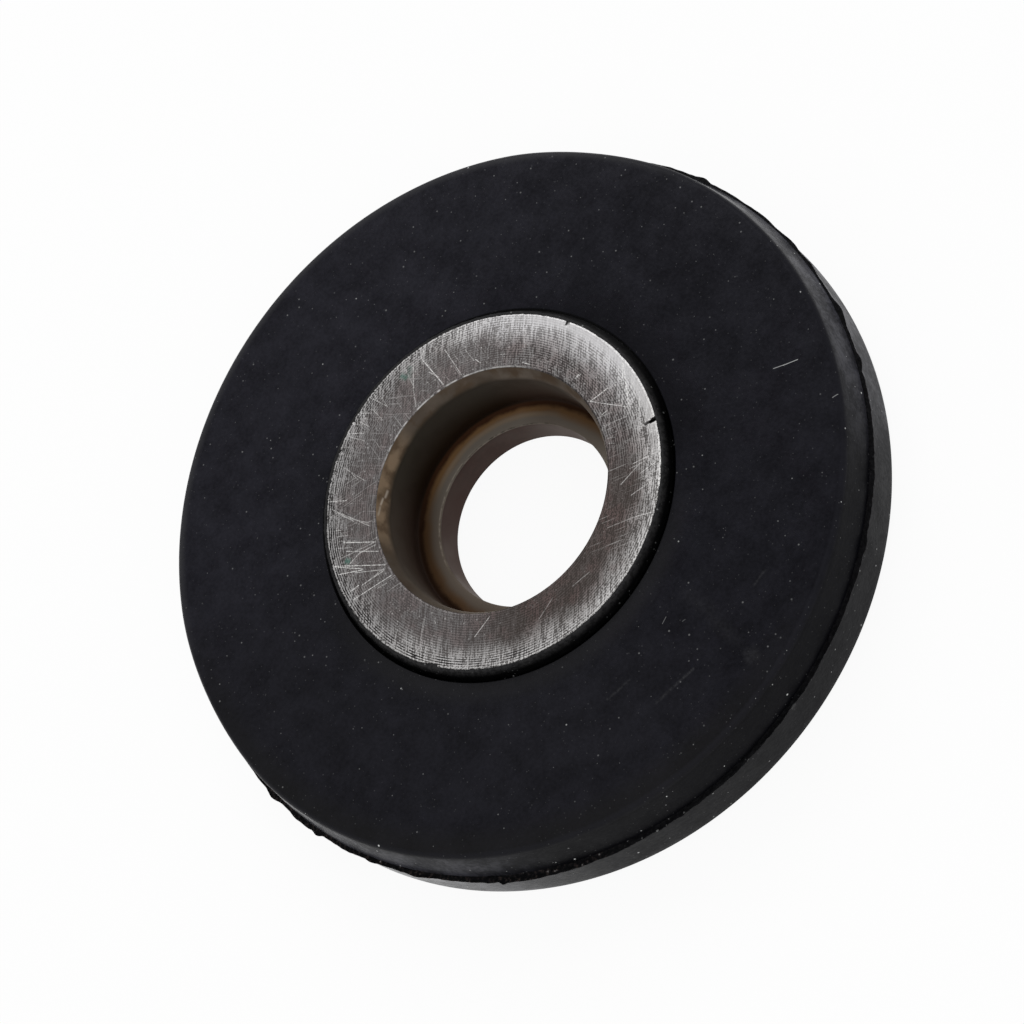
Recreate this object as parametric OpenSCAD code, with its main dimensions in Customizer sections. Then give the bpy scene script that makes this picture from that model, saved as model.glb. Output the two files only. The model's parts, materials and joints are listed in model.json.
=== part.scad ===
// Relay rod spacer: a turned steel bush with a stepped bore, bonded into a moulded rubber disc.
// Millimetres, +Z up. The disc lies flat with its front face up and stands on the back face of the bush.
// The origin is the middle of that back face.

/* [Steel bush] */
// Outside diameter of the bush, where the rubber is bonded to it
bush_d = 49; // [45:0.5:60]
// Diameter of the through bore
bore_d = 25.6; // [12:0.1:30]
// Diameter of the counterbore in the front face
seat_d = 32.2; // [28:0.1:44]
// Depth of the counterbore below the front face
seat_depth = 10.7; // [4:0.1:14]
// Radius that the turning tool leaves in the corner of the counterbore
seat_fillet = 0.5; // [0.2:0.1:1.2]
// Width of the lead-in at the mouth of the counterbore, on the radius
lip_w = 0.9; // [0.3:0.1:3]
// Depth of the lead-in
lip_depth = 2.1; // [0.5:0.1:5]
// Chamfer at the back end of the through bore
bore_chamfer = 0.3; // [0.1:0.1:1]

/* [Rubber disc] */
// Diameter of the disc at the parting line of its mould
disc_d = 100.4; // [70:0.2:160]
// Thickness of the disc
disc_t = 13; // [10:0.5:30]
// Depth of the parting line below the front face
parting_depth = 6.3; // [3:0.1:10]
// How far the back half of the rim stands out past the front half at the parting line
rim_step = 0.4; // [0.1:0.1:1]
// How far the front half of the rim tapers in, on the radius
front_taper = 1.1; // [0.2:0.1:4]
// Radius on the edge of the front face
front_round = 1; // [0.2:0.1:2]
// Radius on the edge of the back face
back_round = 0.4; // [0.2:0.1:2]

/* [Rubber collars] */
// How far the bush stands out of the front face of the disc
front_stand = 1.5; // [0.5:0.1:4]
// How far the bush stands out of the back face of the disc
back_stand = 1.5; // [0.5:0.1:4]
// Width of each collar of rubber round the bush, at the foot
collar_w = 1.2; // [0.6:0.1:4]
// Width of each collar at the face of the bush
collar_tip = 0.3; // [0.1:0.1:0.5]

/* [Moulding flash] */
// Thickness of the flash at the parting line
flash_t = 0.4; // [0.2:0.1:1.2]
// How far the flash reaches out of the rim, on average
flash_reach = 0.3; // [0.2:0.1:2]
// How deep the flash is rooted in the rim
flash_root = 2; // [1:0.5:6]

/* [Hidden] */
$fn = 96;

// Levels, from the back face of the bush up
bush_len = back_stand + disc_t + front_stand;
back_z = back_stand;
front_z = back_stand + disc_t;
parting_z = front_z - parting_depth;
seat_z = bush_len - seat_depth;

// Radii, from the axis out
bore_r = bore_d / 2;
seat_r = seat_d / 2;
bush_r = bush_d / 2;
rim_r = disc_d / 2;
front_foot_r = rim_r - rim_step;
face_r = front_foot_r - front_taper;

// The round on the front edge touches the face and the tapered wall, this far from the corner between them
taper_angle = atan(front_taper / parting_depth);
front_touch = front_round / tan(45 + taper_angle / 2);

// The torn edge of the flash: waves round the rim, each [count, share of the reach, phase].
// The counts are even, so that opposite points reach equally far.
flash_waves = [[2, 0.34, 60], [10, 0.16, 25], [26, 0.18, 130], [44, 0.14, 80]];
flash_points = 264;

function wave_sum(angle, i = 0) =
    i == len(flash_waves) ? 0
    : flash_waves[i][1] * sin(flash_waves[i][0] * angle + flash_waves[i][2]) + wave_sum(angle, i + 1);

function flash_r(angle) = rim_r + flash_reach * (1 + wave_sum(angle));

// Half section of the bush: the ring, less the bore, the counterbore with its lead-in, and the back chamfer
module bush_section() {
    difference() {
        translate([bore_r, 0])
            square([bush_r - bore_r, bush_len]);
        translate([0, seat_z])
            square([seat_r - seat_fillet, bush_len]);
        translate([0, seat_z + seat_fillet])
            square([seat_r, bush_len]);
        translate([seat_r - seat_fillet, seat_z + seat_fillet])
            circle(r = seat_fillet);
        polygon([
            [seat_r, bush_len - lip_depth],
            [seat_r + lip_w, bush_len],
            [seat_r, bush_len],
        ]);
        polygon([
            [bore_r, 0],
            [bore_r + bore_chamfer, 0],
            [bore_r, bore_chamfer],
        ]);
    }
}

// Half section of the rubber: the collars beside the bush, the faces, and the rim in its two mould halves
module disc_section() {
    polygon([
        [bush_r, 0],
        [bush_r + collar_tip, 0],
        [bush_r + collar_w, back_z],
        [rim_r - back_round, back_z],
        [rim_r, back_z + back_round],
        [rim_r, parting_z],
        [front_foot_r, parting_z],
        [face_r + front_touch * sin(taper_angle), front_z - front_touch * cos(taper_angle)],
        [face_r - front_touch, front_z],
        [bush_r + collar_w, front_z],
        [bush_r + collar_tip, bush_len],
        [bush_r, bush_len],
    ]);
    translate([rim_r - back_round, back_z + back_round])
        circle(r = back_round);
    translate([face_r - front_touch, front_z - front_round])
        circle(r = front_round);
}

// Thin fin of rubber that the mould leaves all round at the parting line, with a torn outer edge
module flash() {
    step = 360 / flash_points;
    translate([0, 0, parting_z - flash_t / 2])
        linear_extrude(flash_t)
            difference() {
                polygon([
                    for (i = [0 : flash_points - 1])
                        flash_r(i * step) * [cos(i * step), sin(i * step)]
                ]);
                circle(r = rim_r - flash_root);
            }
}

// Turned steel bush
module steel_bush() {
    color([0.62, 0.61, 0.6])
        rotate_extrude()
            bush_section();
}

// Rubber disc, moulded round the bush in one piece with its collars and flash
module rubber_disc() {
    color([0.11, 0.11, 0.12]) {
        rotate_extrude()
            disc_section();
        flash();
    }
}

steel_bush();
rubber_disc();
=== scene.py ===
"""Relay rod spacer: a moulded rubber disc and a turned steel bush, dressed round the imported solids."""
import json
import math

import bmesh
import bpy
from mathutils import Matrix, Vector, noise


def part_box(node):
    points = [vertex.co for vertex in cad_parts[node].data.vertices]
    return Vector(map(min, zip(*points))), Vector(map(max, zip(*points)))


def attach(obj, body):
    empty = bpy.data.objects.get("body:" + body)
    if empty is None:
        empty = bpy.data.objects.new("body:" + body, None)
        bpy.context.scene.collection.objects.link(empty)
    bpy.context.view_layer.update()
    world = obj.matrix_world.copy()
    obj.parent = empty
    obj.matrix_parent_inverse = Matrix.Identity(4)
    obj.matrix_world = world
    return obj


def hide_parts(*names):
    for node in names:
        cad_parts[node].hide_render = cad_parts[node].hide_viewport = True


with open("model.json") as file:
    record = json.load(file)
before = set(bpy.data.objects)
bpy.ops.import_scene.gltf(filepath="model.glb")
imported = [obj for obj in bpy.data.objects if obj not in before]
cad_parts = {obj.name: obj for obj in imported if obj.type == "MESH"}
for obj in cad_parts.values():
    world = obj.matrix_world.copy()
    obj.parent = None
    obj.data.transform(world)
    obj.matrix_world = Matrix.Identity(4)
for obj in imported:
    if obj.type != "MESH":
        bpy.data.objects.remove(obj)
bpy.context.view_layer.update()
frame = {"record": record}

# Sizes in millimetres. Blender works in metres, so finished meshes are scaled by MM.
MM = 0.001
MOUNTS = {mount["name"]: mount for mount in frame["record"]["mounts"]}
BUSH_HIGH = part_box("steel_bush")[1] / MM

# Steel bush
BUSH_R = BUSH_HIGH.x
BUSH_LEN = BUSH_HIGH.z
BORE_R = MOUNTS["through_bore"]["dims"]["r_mm"]
BORE_CHAMFER = 0.3
SEAT_R = MOUNTS["counterbore"]["dims"]["r_mm"]
SEAT_WALL = MOUNTS["counterbore"]["dims"]["length_mm"]
SEAT_FILLET = 0.5
SEAT_Z = MOUNTS["counterbore"]["pos_m"][2] / MM - SEAT_WALL / 2 - SEAT_FILLET
LIP_Z = SEAT_Z + SEAT_FILLET + SEAT_WALL
MOUTH_R = SEAT_R + 0.9
BACK_EDGE_ROUND = 0.25
FACE_EDGE_ROUND = 0.08
MOUTH_ROUND = 0.14
LIP_ROUND = 0.9
SHELF_ROUND = 0.12
# Middle radius of a painted highlight band on the shelf
SHELF_HIGHLIGHT_R = SEAT_R - 1.85

# Rubber disc
STAND = 1.5
BACK_Z = STAND
FRONT_Z = BUSH_LEN - STAND
RIM_R = 50.2
BACK_EDGE_R = RIM_R + 0.09
FRONT_FOOT_R = RIM_R - 0.4
FACE_R = FRONT_FOOT_R - 1.1
PARTING_Z = FRONT_Z - 6.3
COLLAR_R = BUSH_R + 1.2
COLLAR_TIP_R = BUSH_R + 0.3
COLLAR_ROUND = 0.1
CREASE_OUTER_R = COLLAR_R + 0.15
CREASE_BOTTOM_R = COLLAR_R - 0.1
CREASE_DEPTH = 0.3
CREASE_ROUND = 0.08
BACK_ROUND = 0.1
FRONT_ROUND = 0.8
FLASH_T = 0.4
FLASH_TIP = 0.1
FLASH_ROUND = 0.06
FLASH_R = RIM_R + 0.3

# How finely each piece is turned round its axis
SECTOR_DOUBLINGS = 4
BUSH_STEPS = 832
DISC_STEPS = 1152


# Shapes

def angle_of(point):
    """Angle of a point round the bore's axis, from 0 to 360 degrees."""
    return math.degrees(math.atan2(point.y, point.x)) % 360


def polar_point(angle, radius):
    """A level point at an angle round the axis."""
    turn = math.radians(angle)
    return Vector((radius * math.cos(turn), radius * math.sin(turn), 0))


def move_to(vertex, radius, height):
    """Moves a vertex within its own half plane through the axis."""
    out = vertex.co.xy.normalized() * radius
    vertex.co = (out.x, out.y, height)


def wander(angle, per_turn, seed):
    """Smooth noise from -1 to 1 round the axis, with about per_turn bumps in a turn and no seam."""
    return noise.noise(polar_point(angle, per_turn / math.tau) + Vector((0, 0, seed)))


def bump_at(angle, middle, half_width):
    """A smooth hump of height 1 at one angle, and 0 beyond half_width degrees from it."""
    away = abs((angle - middle + 180) % 360 - 180) / half_width
    return 0 if away >= 1 else (1 - away * away) ** 2


def off_line(point, start, end):
    """Distance from a point to a straight leg of an outline."""
    run = end - start
    share = max(0, min(1, (point - start).dot(run) / run.length_squared))
    return (point - start - run * share).length


def section(corners):
    """A wire outline in the XZ plane, of corners (radius, height, edge round, cell length)."""
    mesh = bmesh.new()
    points = [Vector((radius, 0, height)) for radius, height, _, _ in corners]
    verts = [mesh.verts.new(point) for point in points]
    for start, end in zip(verts, verts[1:] + verts[:1]):
        mesh.edges.new((start, end))
    for vertex, (_, _, edge_round, _) in zip(verts, corners):
        if edge_round:
            bmesh.ops.bevel(mesh, geom=[vertex], offset=edge_round, offset_type="OFFSET", segments=5,
                            profile=0.5, affect="VERTICES", material=-1)
    legs = list(zip(points, points[1:] + points[:1], corners))
    for edge in list(mesh.edges):
        middle = (edge.verts[0].co + edge.verts[1].co) / 2
        nearest = min(legs, key=lambda leg: off_line(middle, leg[0], leg[1]))
        cuts = int(edge.calc_length() / nearest[2][3])
        if cuts:
            bmesh.ops.subdivide_edges(mesh, edges=[edge], cuts=cuts)
    return mesh


def turn_on_axis(mesh, steps):
    """Spins an outline into a sector and doubles that till it goes all round Z and closes."""
    sector = math.tau / 2 ** SECTOR_DOUBLINGS
    bmesh.ops.spin(mesh, geom=mesh.verts[:] + mesh.edges[:], cent=(0, 0, 0), axis=(0, 0, 1), dvec=(0, 0, 0),
                   angle=sector, space=Matrix.Identity(4), steps=steps // 2 ** SECTOR_DOUBLINGS,
                   use_merge=False, use_normal_flip=False, use_duplicate=False)
    for doubling in range(SECTOR_DOUBLINGS):
        copy = bmesh.ops.duplicate(mesh, geom=mesh.verts[:] + mesh.edges[:] + mesh.faces[:])
        turned = [item for item in copy["geom"] if isinstance(item, bmesh.types.BMVert)]
        onward = Matrix.Rotation(sector * 2 ** doubling, 3, "Z")
        bmesh.ops.rotate(mesh, verts=turned, cent=(0, 0, 0), matrix=onward)
    bmesh.ops.remove_doubles(mesh, verts=mesh.verts[:], dist=0.001)
    bmesh.ops.recalc_face_normals(mesh, faces=mesh.faces[:])


def finish_piece(mesh, name, node, materials, sharp_angle):
    """Makes an object of a mesh in millimetres, in the place of a CAD node."""
    bmesh.ops.scale(mesh, vec=(MM, MM, MM), verts=mesh.verts[:])
    data = bpy.data.meshes.new(name)
    mesh.to_mesh(data)
    mesh.free()
    for material in materials:
        data.materials.append(material)
    data.polygons.foreach_set("use_smooth", [True] * len(data.polygons))
    data.set_sharp_from_angle(angle=math.radians(sharp_angle))
    piece = bpy.data.objects.new(name, data)
    bpy.context.scene.collection.objects.link(piece)
    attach(piece, "root")
    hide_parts(node)


# Nicks in the outer edge of the steel face, each (angle, inner radius, half width in degrees, depth)
NICKS = [
    (322.8, 22.9, 0.4, 0.35),
    (11.5, 23.9, 0.45, 0.25),
    (193.0, 23.9, 0.6, 0.2),
    (97.0, 23.9, 0.5, 0.15),
    (107.5, 23.8, 0.4, 0.2),
]


def make_bush(materials):
    """Turns the steel bush with its stepped bore, and dents its front edge."""
    mesh = section([
        (BORE_R + BORE_CHAMFER, 0, 0, 1.9),
        (BUSH_R, 0, BACK_EDGE_ROUND, 5),
        (BUSH_R, BUSH_LEN, FACE_EDGE_ROUND, 0.28),
        (MOUTH_R, BUSH_LEN, MOUTH_ROUND, 0.4),
        (SEAT_R, LIP_Z, LIP_ROUND, 0.9),
        (SEAT_R, SEAT_Z, SEAT_FILLET, 0.4),
        (BORE_R, SEAT_Z, SHELF_ROUND, 0.7),
        (BORE_R, BORE_CHAMFER, 0, 0.3),
    ])
    turn_on_axis(mesh, BUSH_STEPS)
    for vertex in mesh.verts:
        radius = vertex.co.xy.length
        if vertex.co.z > BUSH_LEN - 0.2 and radius > 22:
            angle = angle_of(vertex.co)
            vertex.co.z -= sum(depth * bump_at(angle, middle, half)
                               for middle, inner, half, depth in NICKS if radius > inner)
    for face in mesh.faces:
        middle = face.calc_center_median()
        face.material_index = 1 if middle.xy.length < MOUTH_R - 0.07 and middle.z > 0.01 else 0
    finish_piece(mesh, "turned_bush", "steel_bush", materials, 30)


# Lumps along the torn edge of the flash, each (angle, half width in degrees, height)
FLASH_LUMPS = [
    (170.5, 2.5, 0.12),
    (173.8, 2.2, 0.42),
    (179.5, 2.5, 0.2),
    (181, 8, 0.14),
    (182, 1.6, 0.2),
    (184.1, 1.3, 0.4),
    (189.5, 4, 0.15),
    (195, 1.5, 0.2),
    (203.5, 2, 0.15),
    (217.6, 0.8, 0.3),
    (222, 9, 0.15),
    (294.5, 1.5, 0.1),
    (305, 3, 0.05),
    (323.3, 1.8, 0.3),
    (332.2, 3, 0.35),
    (342, 2.5, 0.2),
    (347, 3, 0.2),
    (354, 4, 0.17),
    (2, 7, 0.13),
    (5.9, 1.8, 0.32),
    (10, 6, 0.24),
    (13, 2.2, 0.15),
    (15.5, 2.5, 0.2),
]


def flash_reach(angle):
    """How far the flash stands out of the rim at an angle."""
    near_side = bump_at(angle, 262, 75) ** 0.3
    left_side = bump_at(angle, 220, 32)
    torn = 0.12 * wander(angle, 120, 3.1) + 0.1 * wander(angle, 300, 7.7) + 0.06 * wander(angle, 700, 1.3)
    lumps = sum(height * bump_at(angle, middle, half) for middle, half, height in FLASH_LUMPS)
    return max(0.02, 0.03 + 0.2 * near_side + 0.22 * left_side + torn * (0.4 + 0.6 * near_side) + lumps)


def tear_flash(vertex, angle, radius):
    """Gives the thin fin at the parting line its torn edge, and makes it uneven."""
    share = max(0, (radius - RIM_R) / (FLASH_R - RIM_R))
    sway = 0.12 * wander(angle, 50, 5.5) + 0.1 * wander(angle, 180, 2.2)
    thick = 1 + 0.5 * wander(angle, 260, 9.4)
    height = PARTING_Z + (vertex.co.z - PARTING_Z) * thick + sway * share
    move_to(vertex, min(radius, RIM_R) + share * flash_reach(angle), height)


def collar_cover(angle):
    """How far the trimmed collar still covers the edge of the steel."""
    ticks = max(0, wander(angle, 260, 4.4) - 0.1) + 0.6 * max(0, wander(angle, 620, 8.8) - 0.1)
    ragged_side = bump_at(angle, 115, 45)
    skin = 0.07 * max(0, angle - 194.8) if angle < 201.8 else 0
    far_side = bump_at(angle, 60, 110)
    return 0.01 + 0.08 * far_side + ticks * (0.12 + 0.25 * ragged_side) + skin


def make_disc(materials):
    """Moulds the rubber disc: collars, faces, the rim's two halves, and the flash between them."""
    mesh = section([
        (BUSH_R, 0, 0, 0.2),
        (COLLAR_TIP_R, 0, COLLAR_ROUND, 0.4),
        (COLLAR_R, BACK_Z, 0, 6),
        (BACK_EDGE_R, BACK_Z, BACK_ROUND, 0.9),
        (RIM_R, PARTING_Z - FLASH_T / 2, 0, 0.15),
        (FLASH_R, PARTING_Z - FLASH_TIP, FLASH_ROUND, 0.1),
        (FLASH_R, PARTING_Z + FLASH_TIP, FLASH_ROUND, 0.12),
        (FRONT_FOOT_R, PARTING_Z + FLASH_T / 2, 0, 0.2),
        (FRONT_FOOT_R - 0.06, PARTING_Z + FLASH_T / 2 + 0.3, 0, 0.8),
        (FACE_R, FRONT_Z, FRONT_ROUND, 6),
        (CREASE_OUTER_R, FRONT_Z, CREASE_ROUND, 0.5),
        (CREASE_BOTTOM_R, FRONT_Z - CREASE_DEPTH, 0, 0.5),
        (COLLAR_TIP_R, BUSH_LEN, COLLAR_ROUND, 0.1),
        (BUSH_R, BUSH_LEN, 0, 8),
    ])
    turn_on_axis(mesh, DISC_STEPS)
    for face in mesh.faces:
        middle = face.calc_center_median()
        torn = middle.xy.length > FRONT_FOOT_R and abs(middle.z - PARTING_Z) < FLASH_T / 2
        face.material_index = 1 if torn else 0
    for vertex in mesh.verts:
        radius = vertex.co.xy.length
        height = vertex.co.z
        angle = angle_of(vertex.co)
        if radius > FRONT_FOOT_R + 0.02 and abs(height - PARTING_Z) < FLASH_T / 2 + 0.01:
            tear_flash(vertex, angle, radius)
        elif radius > FRONT_FOOT_R - 0.1 and PARTING_Z < height < PARTING_Z + 0.6:
            move_to(vertex, radius + 0.2 * bump_at(angle, 355, 50), height)
        elif radius > FACE_R - 1.2 and height > PARTING_Z + 1:
            move_to(vertex, radius - 0.2 * (bump_at(angle, 159, 18) + bump_at(angle, 22, 16)), height)
        elif height > BUSH_LEN - 0.01 and radius < BUSH_R + 0.01:
            move_to(vertex, BUSH_R - collar_cover(angle), BUSH_LEN + 0.03)
        elif height > FRONT_Z + 0.2 and radius > BUSH_R + 0.01:
            rough = 0.08 * wander(angle, 160, height) + 0.05 * wander(angle, 420, height + 3)
            move_to(vertex, radius + rough, height)
    finish_piece(mesh, "moulded_disc", "rubber_disc", materials, 40)


# Shader nodes

def add(tree, kind, inputs=None, **settings):
    """Adds a node, sets its properties, and links or sets its inputs."""
    node = tree.nodes.new(kind)
    for name, value in settings.items():
        setattr(node, name, value)
    for name, value in (inputs or {}).items():
        if isinstance(value, bpy.types.NodeSocket):
            tree.links.new(value, node.inputs[name])
        else:
            node.inputs[name].default_value = value
    return node


def use(tree, group, **inputs):
    """Places a group, and gives its outputs. Keyword names are the names of its inputs."""
    return add(tree, "ShaderNodeGroup", inputs, node_tree=group).outputs


def maths(tree, operation, first, second=0.0):
    """A Math node on one or two values."""
    return add(tree, "ShaderNodeMath", {0: first, 1: second}, operation=operation).outputs[0]


def times(tree, first, second):
    """One value times another."""
    return maths(tree, "MULTIPLY", first, second)


def either(tree, first, second):
    """The larger of two masks."""
    return maths(tree, "MAXIMUM", first, second)


def vector(tree, operation, first, second=(0, 0, 0)):
    """A Vector Math node that gives a vector."""
    node = add(tree, "ShaderNodeVectorMath", {0: first, 1: second}, operation=operation)
    return node.outputs["Vector"]


def measure(tree, operation, first, second=(0, 0, 0)):
    """A Vector Math node that gives a number."""
    node = add(tree, "ShaderNodeVectorMath", {0: first, 1: second}, operation=operation)
    return node.outputs["Value"]


def stretch(tree, value, scale):
    """A vector times a number."""
    node = add(tree, "ShaderNodeVectorMath", {0: value, "Scale": scale}, operation="SCALE")
    return node.outputs["Vector"]


def span(tree, value, low, high, to_low=0.0, to_high=1.0):
    """Eases a value from one range into another, and holds it at the ends."""
    return add(tree, "ShaderNodeMapRange", {0: value, 1: low, 2: high, 3: to_low, 4: to_high},
               interpolation_type="SMOOTHSTEP").outputs[0]


def blend(tree, *shares):
    """A weighted sum of values, each (value, weight)."""
    total = None
    for value, weight in shares:
        part = times(tree, value, weight)
        total = part if total is None else maths(tree, "ADD", total, part)
    return total


def mix(tree, factor, first, second):
    """Mixes two colours."""
    return add(tree, "ShaderNodeMix", {0: factor, 6: first, 7: second}, data_type="RGBA").outputs[2]


def rgb(red, green, blue):
    """A colour with full alpha."""
    return (red, green, blue, 1.0)


def new_group(name, inputs, outputs):
    """An empty shader group with named sockets: inputs {name: default}, outputs {name: type}."""
    group = bpy.data.node_groups.new(name, "ShaderNodeTree")
    for label, value in inputs.items():
        kind = "NodeSocketFloat" if isinstance(value, float) else "NodeSocketVector"
        group.interface.new_socket(label, in_out="INPUT", socket_type=kind).default_value = value
    for label, kind in outputs.items():
        group.interface.new_socket(label, in_out="OUTPUT", socket_type=kind)
    return group, group.nodes.new("NodeGroupInput").outputs, group.nodes.new("NodeGroupOutput").inputs


FLOAT = "NodeSocketFloat"
VECTOR = "NodeSocketVector"


def place_group():
    """Where a point lies about the bore's axis, in millimetres, and its direction from the axis."""
    group, _, sink = new_group("place about the axis", {},
                               {"Radius": FLOAT, "Height": FLOAT, "Direction": VECTOR, "Point": VECTOR})
    point = stretch(group, add(group, "ShaderNodeTexCoord").outputs["Object"], 1 / MM)
    flat = vector(group, "MULTIPLY", point, (1, 1, 0))
    group.links.new(measure(group, "LENGTH", flat), sink["Radius"])
    group.links.new(add(group, "ShaderNodeSeparateXYZ", {0: point}).outputs["Z"], sink["Height"])
    group.links.new(vector(group, "NORMALIZE", flat), sink["Direction"])
    group.links.new(point, sink["Point"])
    return group


def grain_group():
    """Turning or sanding grain. Around is its bumps to a radian, Across its bumps to a millimetre."""
    group, source, sink = new_group("lathe grain", {"Around": 1.0, "Across": 1.0, "Detail": 2.0},
                                    {"Height": FLOAT})
    spot = use(group, PLACE)
    around = stretch(group, spot["Direction"], source["Around"])
    run = times(group, maths(group, "ADD", spot["Radius"], spot["Height"]), source["Across"])
    where = vector(group, "ADD", around, add(group, "ShaderNodeCombineXYZ", {2: run}).outputs[0])
    grain = add(group, "ShaderNodeTexNoise", {"Vector": where, "Scale": 1.0, "Detail": source["Detail"]})
    group.links.new(grain.outputs[0], sink["Height"])
    return group


def turning_group():
    """Regular turning rings on a faced end, as a mask. Pitch and Wobble are in millimetres."""
    group, source, sink = new_group("turning rings", {"Pitch": 0.3, "Wobble": 0.2}, {"Mask": FLOAT})
    drift = use(group, GRAIN, Around=2.0, Across=0.4, Detail=1.0)["Height"]
    run = maths(group, "ADD", use(group, PLACE)["Radius"], times(group, drift, source["Wobble"]))
    phase = maths(group, "DIVIDE", times(group, run, math.tau), source["Pitch"])
    group.links.new(span(group, maths(group, "SINE", phase), -1.0, 1.0), sink["Mask"])
    return group


def scratch_group():
    """A straight line on a level face, as a mask, in millimetres. Taper softens its ends."""
    inputs = {"Start": (0, 0, 0), "Run": (1, 0, 0), "Width": 0.1, "Taper": 0.04}
    group, source, sink = new_group("scratch", inputs, {"Mask": FLOAT})
    flat = vector(group, "MULTIPLY", use(group, PLACE)["Point"], (1, 1, 0))
    away = vector(group, "SUBTRACT", flat, source["Start"])
    along = measure(group, "DOT_PRODUCT", away, source["Run"])
    whole = measure(group, "DOT_PRODUCT", source["Run"], source["Run"])
    share = add(group, "ShaderNodeClamp", {0: maths(group, "DIVIDE", along, whole)}).outputs[0]
    off = measure(group, "DISTANCE", away, stretch(group, source["Run"], share))
    ends = times(group, share, maths(group, "SUBTRACT", 1.0, share))
    taper = span(group, ends, -0.01, source["Taper"])
    group.links.new(times(group, span(group, off, source["Width"], 0.0), taper), sink["Mask"])
    return group


def scuffs_group():
    """Many short parallel hair lines, as a mask. Turn is in radians, the sizes in millimetres."""
    inputs = {"Turn": 0.0, "Length": 3.0, "Pitch": 0.3, "From": 0.6, "To": 0.7}
    group, source, sink = new_group("scuffs", inputs, {"Mask": FLOAT})
    point = use(group, PLACE)["Point"]
    turned = add(group, "ShaderNodeVectorRotate", {"Vector": point, "Angle": source["Turn"]},
                 rotation_type="Z_AXIS").outputs[0]
    length = source["Length"]
    size = add(group, "ShaderNodeCombineXYZ", {0: length, 1: source["Pitch"], 2: length})
    where = vector(group, "DIVIDE", turned, size.outputs[0])
    lines = add(group, "ShaderNodeTexNoise", {"Vector": where, "Scale": 1.0, "Detail": 1.0}).outputs[0]
    group.links.new(span(group, lines, source["From"], source["To"]), sink["Mask"])
    return group


def specks_group():
    """Scattered round specks, as a mask. Spacing and Size are in millimetres."""
    inputs = {"Spacing": 2.0, "Size": 0.1, "Share": 0.3}
    group, source, sink = new_group("specks", inputs, {"Mask": FLOAT})
    scale = maths(group, "DIVIDE", 1.0, source["Spacing"])
    point = use(group, PLACE)["Point"]
    cells = add(group, "ShaderNodeTexVoronoi", {"Vector": point, "Scale": scale}).outputs
    away = times(group, cells["Distance"], source["Spacing"])
    luck = add(group, "ShaderNodeSeparateColor", {0: cells["Color"]}).outputs
    size = times(group, source["Size"], maths(group, "ADD", luck["Green"], 0.4))
    faint = maths(group, "POWER", luck["Blue"], 0.85)
    dot = times(group, span(group, away, size, 0.0), span(group, faint, 0.0, 1.0, 0.1, 1.0))
    shown = maths(group, "LESS_THAN", luck["Red"], source["Share"])
    group.links.new(times(group, dot, shown), sink["Mask"])
    return group


def blotches_group():
    """Soft uneven patches, as a mask. Spacing is in millimetres, From and To set their cover."""
    group, source, sink = new_group("blotches", {"Spacing": 10.0, "From": 0.4, "To": 0.7, "Detail": 3.0},
                                    {"Mask": FLOAT})
    scale = maths(group, "DIVIDE", 1.0, source["Spacing"])
    point = use(group, PLACE)["Point"]
    patch = add(group, "ShaderNodeTexNoise",
                {"Vector": point, "Scale": scale, "Detail": source["Detail"]}).outputs[0]
    group.links.new(span(group, patch, source["From"], source["To"]), sink["Mask"])
    return group


def edge_wear_group():
    """A broken worn line along a turned edge, as a mask. Edge is its radius, in millimetres."""
    group, source, sink = new_group("edge wear", {"Edge": 10.0, "Width": 0.2}, {"Mask": FLOAT})
    off = maths(group, "ABSOLUTE", maths(group, "SUBTRACT", use(group, PLACE)["Radius"], source["Edge"]))
    broken = use(group, BLOTCHES, Spacing=0.9, From=0.35, To=0.6, Detail=2.0)["Mask"]
    group.links.new(times(group, span(group, off, source["Width"], 0.0), broken), sink["Mask"])
    return group


PLACE = place_group()
GRAIN = grain_group()
TURNING = turning_group()
SCRATCH = scratch_group()
SCUFFS = scuffs_group()
SPECKS = specks_group()
BLOTCHES = blotches_group()
EDGE_WEAR = edge_wear_group()


def side(tree, spot, angle, full, none):
    """A mask that is 1 within full degrees of an angle round the axis, and 0 beyond none degrees."""
    along = measure(tree, "DOT_PRODUCT", spot["Direction"], polar_point(angle, 1))
    return span(tree, along, math.cos(math.radians(none)), math.cos(math.radians(full)))


def marks(tree, lines, width, taper=0.04):
    """One mask of several lines, each (start angle, start radius, end angle, end radius, strength)."""
    total = None
    for from_angle, from_radius, to_angle, to_radius, strength in lines:
        start = polar_point(from_angle, from_radius)
        run = polar_point(to_angle, to_radius) - start
        line = use(tree, SCRATCH, Start=start, Run=run, Width=width, Taper=taper)["Mask"]
        faded = times(tree, line, strength)
        total = faded if total is None else either(tree, total, faded)
    return total


def new_material(name):
    """A material with a Principled shader."""
    material = bpy.data.materials.new(name)
    material.use_nodes = True
    tree = material.node_tree
    tree.nodes.clear()
    shader = add(tree, "ShaderNodeBsdfPrincipled")
    add(tree, "ShaderNodeOutputMaterial", {"Surface": shader.outputs[0]})
    return material, tree, shader


def dress(tree, shader, colour, rough, height, strength, depth):
    """Links a colour, a roughness and a relief of a depth in millimetres to a shader."""
    bump = add(tree, "ShaderNodeBump", {"Height": height, "Strength": strength, "Distance": depth * MM})
    tree.links.new(colour, shader.inputs["Base Color"])
    tree.links.new(rough, shader.inputs["Roughness"])
    tree.links.new(bump.outputs[0], shader.inputs["Normal"])


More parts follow.
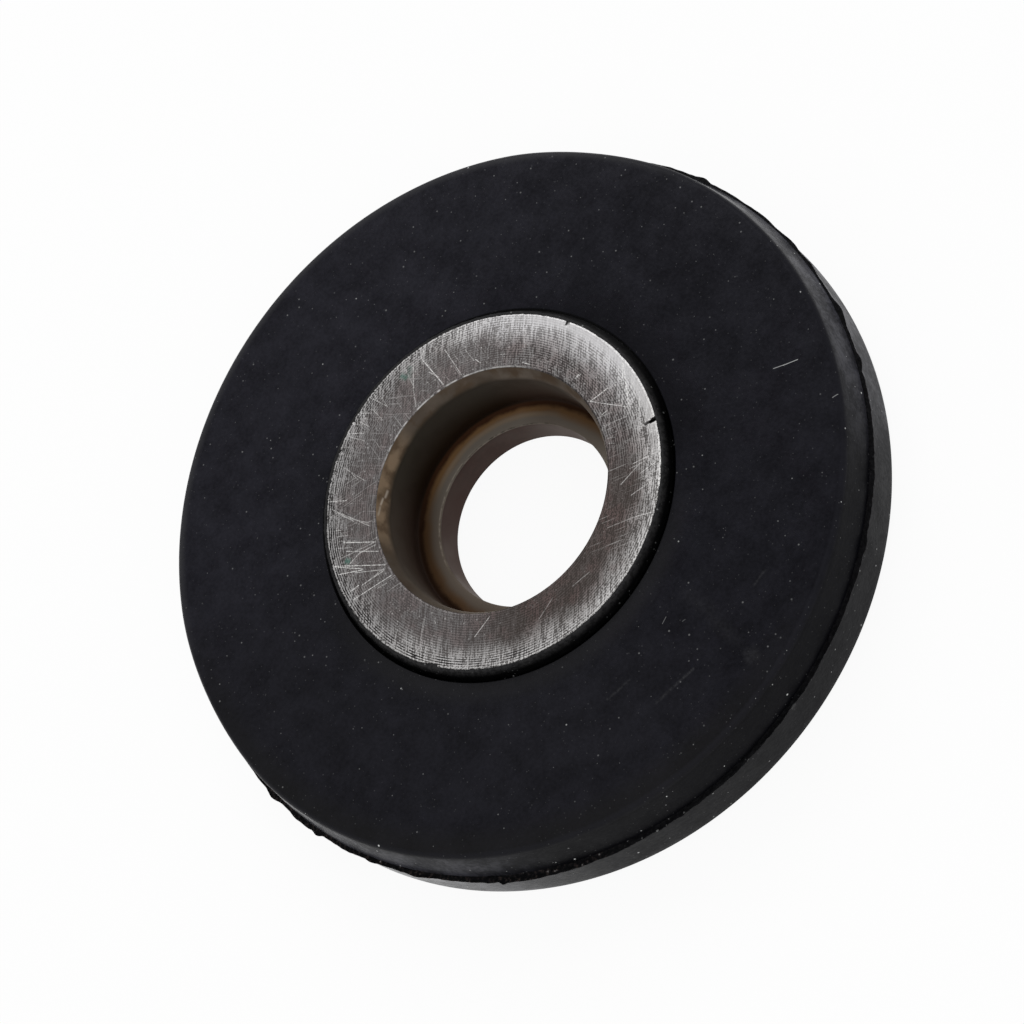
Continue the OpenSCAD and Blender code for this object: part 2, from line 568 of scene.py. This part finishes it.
# Long scratches on the steel face
STEEL_SCRATCHES = [
    (146.6, 24.3, 157.6, 17.3, 0.9),
    (150, 24.1, 153.6, 20.4, 0.9),
    (158, 24.3, 157.8, 21.8, 1.0),
    (158.8, 21, 158.4, 17.6, 0.5),
    (161, 23.6, 163.6, 17.3, 0.9),
    (140, 22.2, 145.2, 17.4, 0.9),
    (143.5, 22, 150, 17.4, 0.7),
    (149, 22.2, 146, 19.8, 0.7),
    (145.2, 23, 145, 17.6, 0.4),
    (124.5, 24.3, 124.5, 21.4, 0.8),
    (112, 23.6, 117, 18.9, 0.4),
    (126.7, 24, 137, 17.9, 0.5),
    (134.6, 24.2, 135.2, 22.3, 0.5),
    (99, 21.9, 101.4, 24.3, 0.6),
    (92, 22.8, 93.6, 24, 0.5),
    (106, 24.2, 105, 22.6, 0.4),
    (86, 24.2, 87.4, 22.6, 0.4),
    (66.5, 22.9, 63, 17.4, 0.9),
    (57.6, 22.2, 53.6, 17.3, 0.5),
    (69.7, 23.1, 75, 19.8, 0.6),
    (75, 19.8, 79, 17.4, 0.4),
    (64.5, 23.8, 66.5, 22.9, 0.7),
    (46.3, 18.9, 44, 18.1, 0.6),
    (43.2, 20.25, 43.5, 20.3, 0.9),
    (343.2, 17.4, 342.6, 20.4, 0.8),
    (344.5, 17.2, 331, 21.6, 0.6),
    (331, 21.6, 346, 24, 0.5),
    (356.6, 18.2, 356.4, 19, 0.6),
    (309.6, 20.5, 312.4, 24.2, 0.55),
    (301.6, 18.9, 309.6, 21.6, 0.4),
    (297.6, 20.6, 303, 23.4, 0.4),
    (290.4, 22, 293, 24.4, 0.45),
    (305.4, 21.4, 309.2, 23.9, 0.4),
    (303.4, 21.8, 306.6, 24.2, 0.35),
    (307.8, 20, 310, 22.4, 0.3),
    (283.6, 18.6, 290.4, 22, 0.25),
    (213.5, 20.2, 220, 17.5, 0.6),
    (189.6, 18.6, 194, 23.6, 0.25),
    (194.4, 18.7, 195.4, 19, 0.7),
    (321, 17.4, 320, 18.2, 0.3),
    (323.2, 17.4, 322.4, 18.6, 0.3),
    (329.8, 17.4, 328.6, 18.4, 0.3),
    (127.4, 23.5, 133.2, 20.2, 0.5),
    (130.2, 22.1, 135.5, 18, 0.4),
    (146.6, 20.2, 146.2, 17.6, 0.6),
    (146.8, 24.3, 153.2, 20.4, 0.9),
    (152.7, 21.7, 159.2, 17.7, 0.5),
    (158.6, 21.6, 159.3, 17.8, 0.7),
    (163.8, 20, 165, 18.4, 0.4),
    (192.3, 21.9, 189.4, 18.8, 0.3),
    (173.1, 22.7, 170.4, 21.5, 0.3),
    (183.4, 23.4, 181.9, 21.8, 0.35),
    (136.8, 24, 137.9, 21.2, 0.4),
    (139, 22.8, 141.3, 20.1, 0.4),
    (141.1, 23.4, 143.1, 20.9, 0.35),
    (66.5, 20.5, 63.5, 18.8, 0.5),
    (72.8, 23.6, 74.5, 19.8, 0.4),
    (87.9, 24.3, 86.5, 21, 0.4),
    (90.6, 22.6, 91.8, 20.1, 0.4),
    (50, 20.8, 46.9, 18.7, 0.3),
    (96.3, 23.7, 96.2, 21.7, 0.4),
    (102.1, 24.2, 101.6, 21.1, 0.4),
    (114, 21.6, 116.6, 20.2, 0.4),
    (32.7, 23.3, 31.1, 20.7, 0.3),
    (26.7, 22.3, 24.7, 19.7, 0.3),
    (257.2, 19.3, 266, 19.8, 0.25),
    (240, 20.3, 248.8, 18.7, 0.25),
    (335.6, 22.1, 338.2, 23.7, 0.6),
    (335.6, 22.1, 342.1, 22.3, 0.4),
    (346.4, 24, 341.4, 22.6, 0.5),
    (356.2, 18.5, 355.5, 19.2, 0.6),
    (24.4, 17.7, 20, 17.5, 0.6),
    (334.4, 17.7, 334.8, 18.8, 0.5),
]

# Fine hair lines on the steel face, each (angle of their middle, spread, heading in degrees, strength)
HAIR_LINES = [
    (145, 40, 154, 0.25),
    (100, 45, 120, 0.2),
    (75, 40, 74, 0.25),
    (310, 45, 143, 0.25),
]

# A deep nick in the edge of the steel face, and smaller black marks along it
NICK_MARKS = [
    (322.6, 23.5, 323, 25.2, 1.0),
    (323, 23.8, 323.6, 25.2, 1.0),
]
BLACK_MARKS = [
    (11.8, 23.8, 12.1, 24.8, 1.0),
    (322.2, 22.8, 323.2, 24.8, 1.0),
    (193.4, 23.7, 192.2, 24.1, 0.9),
    (2, 22.95, 2.3, 22.9, 0.5),
    (106.5, 24.2, 110, 24.3, 0.6),
    (126, 23.3, 128, 23.5, 0.4),
]

# Soft green stains on the steel face
GREEN_STAINS = [
    (71, 23, 74, 21.6, 0.25),
    (74.4, 21.8, 75.6, 22.9, 0.6),
    (146.6, 22.4, 148, 21.8, 0.8),
]


def turned_steel():
    """The faced ends of the bush: turning rings and sanding lines, pale outside and darker inside, with
    painted highlights, glare, sheen, shade and glints.
    """
    material, tree, shader = new_material("turned steel")
    spot = use(tree, PLACE)
    rings = use(tree, TURNING, Pitch=0.32, Wobble=0.3)["Mask"]
    crisp = span(tree, use(tree, GRAIN, Around=2.5, Across=1.1, Detail=2.0)["Height"], 0.35, 0.65)
    lines = use(tree, SCUFFS, Turn=math.radians(-35), Length=2.2, Pitch=0.2, From=0.3, To=0.7)["Mask"]
    strokes = use(tree, SCUFFS, Turn=math.radians(-35), Length=5.0, Pitch=0.6, From=0.35, To=0.65)["Mask"]
    grit = use(tree, BLOTCHES, Spacing=0.22, From=0.3, To=0.7, Detail=1.0)["Mask"]
    uneven = use(tree, BLOTCHES, Spacing=4.0, From=0.3, To=0.7)["Mask"]
    tint = use(tree, BLOTCHES, Spacing=2.5, From=0.4, To=0.65)["Mask"]
    pits = use(tree, SPECKS, Spacing=0.7, Size=0.14, Share=0.3)["Mask"]
    # Small pale specks that are painted glints on the steel.
    painted_glints = use(tree, SPECKS, Spacing=0.45, Size=0.15, Share=0.5)["Mask"]

    # Painted shade on the outer band round 120 degrees.
    painted_shade_side = side(tree, spot, 120, 38, 75)
    # Painted highlight on the outer band round 12 degrees.
    painted_highlight_side = side(tree, spot, 12, 18, 48)
    # Painted shade on the near side round 268 degrees, with a brown tint; fewer painted glints there too.
    brown = side(tree, spot, 268, 30, 65)
    # Painted highlight round 4 degrees that carries the pale outer band further in.
    painted_highlight_reach = side(tree, spot, 4, 15, 52)
    # Painted glare round 338 degrees: the inner face is given darker lows and paler highs.
    painted_glare_side = side(tree, spot, 338, 30, 70)
    reach = blend(tree, (spot["Radius"], 1.0), (uneven, 1.2), (painted_highlight_reach, 1.1))
    outer = span(tree, reach, 20.8, 25.2)
    # Painted sheen near the outer edge round 352 degrees, where the hatch is evened out to one pale tone.
    painted_sheen_band = times(tree, side(tree, spot, 352, 22, 55),
                     span(tree, spot["Radius"], 22.4, 23.6))

    woven = blend(tree, (rings, 0.32), (lines, 0.4), (grit, 0.22), (strokes, 0.06))
    plain = blend(tree, (rings, 0.16), (lines, 0.38), (grit, 0.4), (strokes, 0.06))
    woven = mix(tree, crisp, plain, woven)
    woven = mix(tree, times(tree, painted_sheen_band, 0.85), woven, rgb(0.58, 0.58, 0.58))
    hatch = span(tree, woven, 0.3, 0.7)

    inner_low = mix(tree, painted_glare_side, rgb(0.088, 0.078, 0.076), rgb(0.054, 0.047, 0.046))
    inner_high = mix(tree, painted_glare_side, rgb(0.162, 0.154, 0.153), rgb(0.203, 0.195, 0.193))
    inner_low = mix(tree, brown, inner_low, rgb(0.054, 0.045, 0.041))
    inner_high = mix(tree, brown, inner_high, rgb(0.084, 0.072, 0.068))
    inner_high = mix(tree, times(tree, tint, 0.3), inner_high, rgb(0.15, 0.09, 0.085))
    outer_low = mix(tree, painted_highlight_side, rgb(0.13, 0.124, 0.121), rgb(0.25, 0.242, 0.242))
    outer_low = mix(tree, painted_shade_side, outer_low, rgb(0.046, 0.043, 0.042))
    outer_high = mix(tree, painted_highlight_side, rgb(0.55, 0.54, 0.535), rgb(0.56, 0.552, 0.56))
    outer_high = mix(tree, painted_shade_side, outer_high, rgb(0.37, 0.362, 0.36))
    low = mix(tree, outer, inner_low, outer_low)
    high = mix(tree, outer, inner_high, outer_high)
    colour = mix(tree, hatch, low, high)

    front = span(tree, spot["Height"], BUSH_LEN - 3, BUSH_LEN - 2)
    scratches = times(tree, marks(tree, STEEL_SCRATCHES, 0.09), span(tree, grit, 0.0, 0.6, 0.35, 1.0))
    scratches = times(tree, scratches, front)
    painted_glints = times(tree, painted_glints, span(tree, brown, 0.0, 1.0, 0.4, 0.12))
    light = either(tree, scratches, painted_glints)
    for middle, spread, heading, share in HAIR_LINES:
        turn = -math.radians(heading)
        hair = use(tree, SCUFFS, Turn=turn, Length=4.5, Pitch=0.15, From=0.64, To=0.76)["Mask"]
        hair = times(tree, hair, side(tree, spot, middle, spread / 2, spread))
        light = either(tree, light, times(tree, hair, share))
    rim_light = times(tree, span(tree, spot["Radius"], 24.1, 24.35), span(tree, grit, 0.2, 0.7))
    mouth = times(tree, use(tree, EDGE_WEAR, Edge=MOUTH_R + 0.05, Width=0.14)["Mask"],
                  side(tree, spot, 65, 35, 50))
    light = either(tree, light, times(tree, times(tree, mouth, front), 0.6))
    light = either(tree, light, times(tree, rim_light, 0.35))
    colour = mix(tree, light, colour, rgb(0.88, 0.87, 0.85))

    smudge = use(tree, BLOTCHES, Spacing=1.3, From=0.45, To=0.6)["Mask"]
    grooves = times(tree, span(tree, rings, 0.55, 0.15), blend(tree, (crisp, 0.5), (smudge, 0.9)))
    grooves = times(tree, grooves, span(tree, spot["Radius"], 22.7, 23.3))
    grooves = times(tree, grooves, side(tree, spot, 180, 50, 80))
    nick = span(tree, marks(tree, NICK_MARKS, 0.36), 0.1, 0.4)
    black = either(tree, marks(tree, BLACK_MARKS, 0.26), nick)
    black = times(tree, either(tree, black, times(tree, grooves, 0.9)), front)
    dark = either(tree, black, times(tree, pits, 0.6))
    green = times(tree, marks(tree, GREEN_STAINS, 0.7), front)
    colour = mix(tree, green, colour, rgb(0.07, 0.16, 0.13))
    colour = mix(tree, dark, colour, rgb(0.012, 0.011, 0.011))

    height = blend(tree, (woven, 1.0), (pits, -0.5))
    rough = span(tree, hatch, 0.0, 1.0, 0.52, 0.42)
    shader.inputs["Metallic"].default_value = 1.0
    dress(tree, shader, colour, rough, height, 0.35, 0.04)
    return material


# Bright glints on the lip of the bore
LIP_GLINTS = [
    (118.4, 16.32, 123.6, 16.44, 0.6),
    (122.8, 16.52, 127.6, 16.68, 0.65),
    (127, 16.66, 133, 16.84, 0.45),
]


def stained_steel():
    """The stepped bore: a tan lip, a dark seat wall, a shelf rusted in its corner, and a matt bore, with
    painted light and shade on some sides and painted glints on the lip.
    """
    material, tree, shader = new_material("stained steel")
    spot = use(tree, PLACE)
    grain = use(tree, GRAIN, Around=3.0, Across=2.0, Detail=3.0)["Height"]
    uneven = use(tree, BLOTCHES, Spacing=4.0, From=0.3, To=0.75)["Mask"]
    stain = use(tree, BLOTCHES, Spacing=2.2, From=0.42, To=0.66)["Mask"]
    lip = span(tree, blend(tree, (spot["Height"], 1.0), (uneven, 0.3)), LIP_Z - 0.5, LIP_Z + 0.7)
    wall_top = span(tree, spot["Height"], SEAT_Z + 0.5, LIP_Z)
    shelf = span(tree, spot["Height"], SEAT_Z + 0.4, SEAT_Z + 0.05)
    bore = span(tree, spot["Height"], SEAT_Z - 0.05, SEAT_Z - 0.25)
    rust = span(tree, blend(tree, (spot["Radius"], 1.0), (uneven, 0.6)), SEAT_R - 2.2, SEAT_R - 0.7)
    corner = span(tree, blend(tree, (spot["Radius"], 1.0), (stain, 0.2)), SEAT_R - 1.1, SEAT_R - 0.3)
    # Painted light on the lip round 122 degrees, along with a tan stain there.
    painted_lit_lip_side = side(tree, spot, 122, 12, 36)
    # Painted shade on the shelf and over its rusted corner round 175 degrees, weaker round 8 degrees and
    # towards the bore.
    painted_shelf_shade = either(tree, side(tree, spot, 175, 35, 85),
                      times(tree, side(tree, spot, 8, 12, 36), 0.6))
    painted_shelf_shade = times(tree, painted_shelf_shade, span(tree, spot["Radius"], BORE_R + 0.4, SEAT_R - 1, 0.55, 1.0))

    lip_colour = mix(tree, uneven, rgb(0.085, 0.066, 0.050), rgb(0.150, 0.124, 0.100))
    lip_colour = mix(tree, times(tree, painted_lit_lip_side, 0.75), lip_colour, rgb(0.33, 0.235, 0.15))
    lip_colour = mix(tree, times(tree, stain, 0.75), lip_colour, rgb(0.082, 0.052, 0.031))
    # The lip is painted darker round 175 degrees.
    lip_colour = mix(tree, times(tree, side(tree, spot, 175, 15, 40), 0.6), lip_colour,
                     rgb(0.055, 0.042, 0.031))
    wall_colour = mix(tree, wall_top, rgb(0.014, 0.0075, 0.004), rgb(0.0145, 0.0112, 0.007))
    lit_wall = either(tree, side(tree, spot, 165, 25, 60),
                     side(tree, spot, 12, 8, 40))
    lit_colour = mix(tree, wall_top, rgb(0.042, 0.026, 0.020), rgb(0.031, 0.0215, 0.0145))
    wall_colour = mix(tree, lit_wall, wall_colour, lit_colour)
    # Painted highlight: a pale cream band across the shelf round 65 degrees.
    painted_shelf_highlight = span(tree, maths(tree, "ABSOLUTE", maths(tree, "SUBTRACT", spot["Radius"], SHELF_HIGHLIGHT_R)), 0.6, 0.0)
    painted_shelf_highlight = times(tree, painted_shelf_highlight, side(tree, spot, 65, 30, 55))
    shelf_colour = mix(tree, rust, rgb(0.186, 0.162, 0.136), rgb(0.212, 0.118, 0.052))
    shelf_colour = mix(tree, times(tree, painted_shelf_highlight, 0.7), shelf_colour, rgb(0.268, 0.206, 0.145))
    shelf_colour = mix(tree, times(tree, painted_shelf_shade, 0.82), shelf_colour, rgb(0.036, 0.016, 0.006))
    corner_colour = mix(tree, painted_shelf_shade, rgb(0.046, 0.018, 0.008), rgb(0.018, 0.007, 0.003))
    shelf_colour = mix(tree, corner, shelf_colour, corner_colour)
    bore_colour = mix(tree, uneven, rgb(0.035, 0.0165, 0.0145), rgb(0.045, 0.0215, 0.019))
    colour = mix(tree, lip, wall_colour, lip_colour)
    colour = mix(tree, shelf, colour, shelf_colour)
    colour = mix(tree, bore, colour, bore_colour)
    worn = times(tree, use(tree, EDGE_WEAR, Edge=BORE_R + 0.22, Width=0.2)["Mask"],
                 side(tree, spot, 114, 18, 48))
    black_line = times(tree, use(tree, EDGE_WEAR, Edge=BORE_R + 0.1, Width=0.16)["Mask"],
                       side(tree, spot, 62, 25, 50))
    colour = mix(tree, times(tree, black_line, 0.7), colour, rgb(0.012, 0.008, 0.006))
    glint = marks(tree, LIP_GLINTS, 0.11, 0.2)
    light = either(tree, times(tree, worn, 0.3), times(tree, glint, lip))
    colour = mix(tree, light, colour, rgb(0.62, 0.55, 0.46))
    shader.inputs["Metallic"].default_value = 0.3
    shader.inputs["Specular IOR Level"].default_value = 0.2
    shader.inputs["Specular Tint"].default_value = rgb(1.0, 0.85, 0.7)
    soot = times(tree, corner, span(tree, spot["Height"], SEAT_Z + 1.2, SEAT_Z + 0.6))
    rough = blend(tree, (span(tree, uneven, 0.0, 1.0, 0.52, 0.6), 1.0), (soot, 0.35))
    dress(tree, shader, colour, rough, grain, 0.02, 0.05)
    return material


# Fibre and ticks on the rubber face
RUBBER_MARKS = [
    (324.1, 40.8, 323.9, 42.5, 0.8),
    (323.9, 42.1, 323.8, 44.3, 1.0),
    (315.4, 47.6, 315.8, 48.4, 0.6),
    (267.2, 32, 269.1, 31.8, 0.3),
    (270.2, 34.1, 271, 34.3, 0.2),
]

# Faint scuffs and pale smears on the rubber face
RUBBER_SCUFFS = [
    (254.8, 39, 264.7, 39.5, 0.7),
    (246.9, 34.4, 253.8, 34.1, 0.5),
    (282.6, 40.5, 286.1, 41.2, 0.5),
]
RUBBER_SMEARS = [
    (276.2, 31, 274.4, 40, 0.35),
    (275.2, 35, 272.2, 44, 0.4),
    (270.6, 44.2, 273.4, 45.6, 1.0),
]


def moulded_rubber():
    """Matt black rubber with a faint mottle, dust and fibres, painted shade in the crease round the collar,
    and painted light, sheen and shadow on parts of the face and rim.
    """
    material, tree, shader = new_material("moulded rubber")
    spot = use(tree, PLACE)
    mottle = use(tree, BLOTCHES, Spacing=5.0, From=0.3, To=0.72)["Mask"]
    fine = use(tree, BLOTCHES, Spacing=0.5, From=0.25, To=0.75, Detail=3.0)["Mask"]
    dust = use(tree, SPECKS, Spacing=0.9, Size=0.145, Share=0.25)["Mask"]
    motes = use(tree, SPECKS, Spacing=0.55, Size=0.1, Share=0.6)["Mask"]
    fibres = marks(tree, RUBBER_MARKS, 0.08)
    scuffs = times(tree, marks(tree, RUBBER_SCUFFS, 0.3), fine)
    smears = times(tree, marks(tree, RUBBER_SMEARS, 1.7, 0.25), span(tree, fine, 0.0, 1.0, 0.5, 1.0))
    edge = times(tree, span(tree, spot["Radius"], 44.0, 47.5), side(tree, spot, 215, 30, 80))
    patches = use(tree, BLOTCHES, Spacing=1.5, From=0.3, To=0.7)["Mask"]
    shade = blend(tree, (mottle, 0.4), (patches, 0.25), (fine, 0.35))
    far_side = side(tree, spot, 110, 30, 120)
    rim = times(tree, span(tree, spot["Radius"], FACE_R - 0.4, FACE_R),
                span(tree, spot["Height"], FRONT_Z - 0.5, FRONT_Z - 1.2))
    shoulder = times(tree, span(tree, spot["Radius"], FACE_R - 0.7, FACE_R - 0.2),
                     span(tree, spot["Height"], FRONT_Z - 1.0, FRONT_Z - 0.2))
    # Painted sheen on the sides of the front rim round 352 and 194 degrees, pale and patchy, stronger
    # towards the parting line.
    painted_rim_sheen = either(tree, side(tree, spot, 352, 18, 48),
                  times(tree, side(tree, spot, 194, 12, 34), 0.75))
    painted_rim_sheen = times(tree, painted_rim_sheen, span(tree, spot["Height"], FRONT_Z - 0.7, FRONT_Z - 3, 0.55, 1.0))
    painted_rim_sheen = times(tree, times(tree, painted_rim_sheen, rim), span(tree, shade, 0.2, 0.8, 0.3, 1.0))
    tips = either(tree, side(tree, spot, 171, 6, 20), side(tree, spot, 11, 6, 20))
    back_rim = times(tree, span(tree, spot["Height"], PARTING_Z - 0.2, PARTING_Z - 0.5),
                     side(tree, spot, 206, 12, 30))
    gloss = either(tree, times(tree, tips, rim), back_rim)
    # Painted shade in the crease at the foot of the collar, deepest on the near side round 243 degrees,
    # paler up the collar.
    collar = times(tree, span(tree, spot["Radius"], COLLAR_R + 0.2, COLLAR_R + 0.05),
                   span(tree, spot["Height"], FRONT_Z - 0.6, FRONT_Z - 0.4))
    painted_crease_shade_side = side(tree, spot, 243, 78, 132)
    rise = times(tree, span(tree, spot["Height"], FRONT_Z + 0.35, BUSH_LEN + 0.1),
                 span(tree, fine, 0.2, 0.8, 0.6, 1.25))
    collar_low = mix(tree, painted_crease_shade_side, rgb(0.0125, 0.0124, 0.013), rgb(0.0004, 0.0004, 0.0004))
    collar_high = mix(tree, painted_crease_shade_side, rgb(0.023, 0.0226, 0.023), rgb(0.0250, 0.0247, 0.0250))
    # Painted light: a paler ring on the face next to the collar, round 228 degrees.
    painted_light_ring = times(tree, span(tree, spot["Radius"], 29.5, 26.5), side(tree, spot, 228, 45, 85))
    shade_side = either(tree, side(tree, spot, 346, 18, 42),
                       times(tree, side(tree, spot, 145, 25, 50), 0.6))
    shadow = times(tree, span(tree, spot["Radius"], 32.5, 27.0), shade_side)
    # Painted sheen on the rounded front edge of the face round 76 degrees.
    painted_far_edge_sheen = times(tree, span(tree, spot["Radius"], 47.1, 48.4), side(tree, spot, 76, 50, 80))
    left_side = side(tree, spot, 205, 35, 70)
    # Painted light: the face is painted paler towards the far side round 110 degrees, and a little paler
    # round 205 degrees.
    low = mix(tree, far_side, rgb(0.0030, 0.0029, 0.0044), rgb(0.0060, 0.0058, 0.0082))
    high = mix(tree, far_side, rgb(0.0120, 0.0119, 0.0162), rgb(0.0190, 0.0188, 0.0248))
    low = mix(tree, left_side, low, rgb(0.0053, 0.0052, 0.0068))
    high = mix(tree, left_side, high, rgb(0.0146, 0.0145, 0.0188))
    colour = mix(tree, shade, low, high)
    colour = mix(tree, times(tree, edge, 0.5), colour, rgb(0.0105, 0.0103, 0.0092))
    colour = mix(tree, times(tree, painted_light_ring, 0.6), colour, rgb(0.0165, 0.0163, 0.0170))
    colour = mix(tree, times(tree, shadow, 0.48), colour, rgb(0.0035, 0.0035, 0.0045))
    colour = mix(tree, times(tree, painted_far_edge_sheen, 0.6), colour, rgb(0.048, 0.048, 0.050))
    colour = mix(tree, times(tree, rim, 0.85), colour, rgb(0.0014, 0.0014, 0.0022))
    colour = mix(tree, times(tree, shoulder, 0.5), colour, rgb(0.016, 0.016, 0.02))
    colour = mix(tree, painted_rim_sheen, colour, rgb(0.052, 0.052, 0.063))
    colour = mix(tree, collar, colour, mix(tree, rise, collar_low, collar_high))
    rubbed = either(tree, times(tree, fibres, 0.5), times(tree, scuffs, 0.04))
    rubbed = either(tree, rubbed, times(tree, smears, 0.013))
    rubbed = times(tree, rubbed, span(tree, spot["Height"], FRONT_Z - 0.4, FRONT_Z - 0.2))
    dust = times(tree, dust, span(tree, collar, 0.0, 1.0, 1.0, 0.25))
    pale = either(tree, dust, times(tree, motes, 0.1))
    pale = either(tree, pale, rubbed)
    colour = mix(tree, pale, colour, rgb(0.88, 0.89, 0.88))
    shader.inputs["Specular IOR Level"].default_value = 0.05
    shader.inputs["Specular Tint"].default_value = rgb(0.92, 0.92, 1.0)
    rough = blend(tree, (span(tree, shade, 0.1, 0.9, 0.46, 0.32), 1.0), (gloss, -0.18))
    dress(tree, shader, colour, rough, fine, 0.12, 0.08)
    return material


def torn_rubber():
    """The flash and the parting line: blacker, with a rough torn grain and pale glints on one side."""
    material, tree, shader = new_material("torn rubber")
    spot = use(tree, PLACE)
    grain = use(tree, BLOTCHES, Spacing=0.5, From=0.25, To=0.75)["Mask"]
    crumbs = use(tree, BLOTCHES, Spacing=0.5, From=0.5, To=0.72, Detail=2.0)["Mask"]
    glints = use(tree, BLOTCHES, Spacing=0.5, From=0.66, To=0.78, Detail=2.0)["Mask"]
    shown = blend(tree, (side(tree, spot, 225, 22, 42), 0.8), (grain, 0.05))
    brown = side(tree, spot, 195, 28, 45)
    colour = mix(tree, grain, rgb(0.0012, 0.0012, 0.0016), rgb(0.004, 0.004, 0.005))
    colour = mix(tree, times(tree, crumbs, brown), colour, rgb(0.034, 0.025, 0.023))
    colour = mix(tree, times(tree, glints, shown), colour, rgb(0.25, 0.25, 0.25))
    shader.inputs["Specular IOR Level"].default_value = 0.06
    dress(tree, shader, colour, span(tree, grain, 0.0, 1.0, 0.65, 0.5), grain, 0.5, 0.12)
    return material


# Camera, as fitted to the photograph: focal length and offset in pixels, distance in millimetres,
# and angles in degrees
FRAME_PX = 1024
FOCAL_PX = 3300
OFFSET_PX = (-22.4, 23.1)
CAMERA_DISTANCE = 430.6
CAMERA_TILT = 32.9
CAMERA_ROLL = -55.14


def make_camera():
    """Looks down at the middle of the bush's front face, tilted off the bore's axis and rolled."""
    data = bpy.data.cameras.new("camera")
    data.sensor_width = 36
    data.lens = FOCAL_PX / FRAME_PX * data.sensor_width
    data.clip_start = 0.01
    camera = bpy.data.objects.new("camera", data)
    bpy.context.scene.collection.objects.link(camera)
    tilt = Matrix.Rotation(math.radians(CAMERA_TILT), 4, "X")
    turn = tilt @ Matrix.Rotation(math.radians(CAMERA_ROLL), 4, "Z")
    seen_at = Vector((OFFSET_PX[0], OFFSET_PX[1], -FOCAL_PX)) * CAMERA_DISTANCE / FOCAL_PX
    middle = Vector((0, 0, BUSH_LEN))
    camera.matrix_world = Matrix.Translation((middle - turn @ seen_at) * MM) @ turn
    bpy.context.scene.camera = camera


def make_floor():
    """A plain pale floor that shows white to the camera and in reflections, and keeps a soft shadow."""
    mesh = bmesh.new()
    bmesh.ops.create_grid(mesh, x_segments=1, y_segments=1, size=3)
    data = bpy.data.meshes.new("floor")
    mesh.to_mesh(data)
    mesh.free()
    floor = bpy.data.objects.new("floor", data)
    floor.location.z = -0.05 * MM
    bpy.context.scene.collection.objects.link(floor)
    material = bpy.data.materials.new("pale floor")
    material.use_nodes = True
    tree = material.node_tree
    tree.nodes.clear()
    path = add(tree, "ShaderNodeLightPath").outputs
    shown = either(tree, path["Is Camera Ray"], path["Is Glossy Ray"])
    shown = either(tree, shown, path["Is Transmission Ray"])
    matt = add(tree, "ShaderNodeBsdfDiffuse", {"Color": rgb(0.9, 0.9, 0.9)}).outputs[0]
    white = add(tree, "ShaderNodeEmission", {"Color": rgb(1, 1, 1), "Strength": 1.0}).outputs[0]
    both = add(tree, "ShaderNodeMixShader", {0: times(tree, shown, 0.93), 1: matt, 2: white})
    add(tree, "ShaderNodeOutputMaterial", {"Surface": both.outputs[0]})
    data.materials.append(material)


# Softboxes, each (name, place in metres, width in metres, power in watts)
SOFTBOXES = [
    ("key softbox", (0.6, 0.7, 0.95), 0.9, 6.0),
    ("fill softbox", (-0.4, -0.7, 0.9), 1.8, 5.0),
]


def make_light():
    """A soft white surround and two large softboxes."""
    world = bpy.data.worlds.new("studio")
    world.use_nodes = True
    world.node_tree.nodes["Background"].inputs["Color"].default_value = rgb(1, 1, 1)
    world.node_tree.nodes["Background"].inputs["Strength"].default_value = 0.55
    bpy.context.scene.world = world
    for name, spot, width, power in SOFTBOXES:
        data = bpy.data.lights.new(name, "AREA")
        data.size = width
        data.energy = power
        lamp = bpy.data.objects.new(name, data)
        lamp.location = spot
        lamp.rotation_euler = (-Vector(spot)).to_track_quat("-Z", "Y").to_euler()
        bpy.context.scene.collection.objects.link(lamp)


make_camera()
make_floor()
make_light()
make_bush([turned_steel(), stained_steel()])
make_disc([moulded_rubber(), torn_rubber()])
bpy.context.scene.view_settings.view_transform = "Standard"
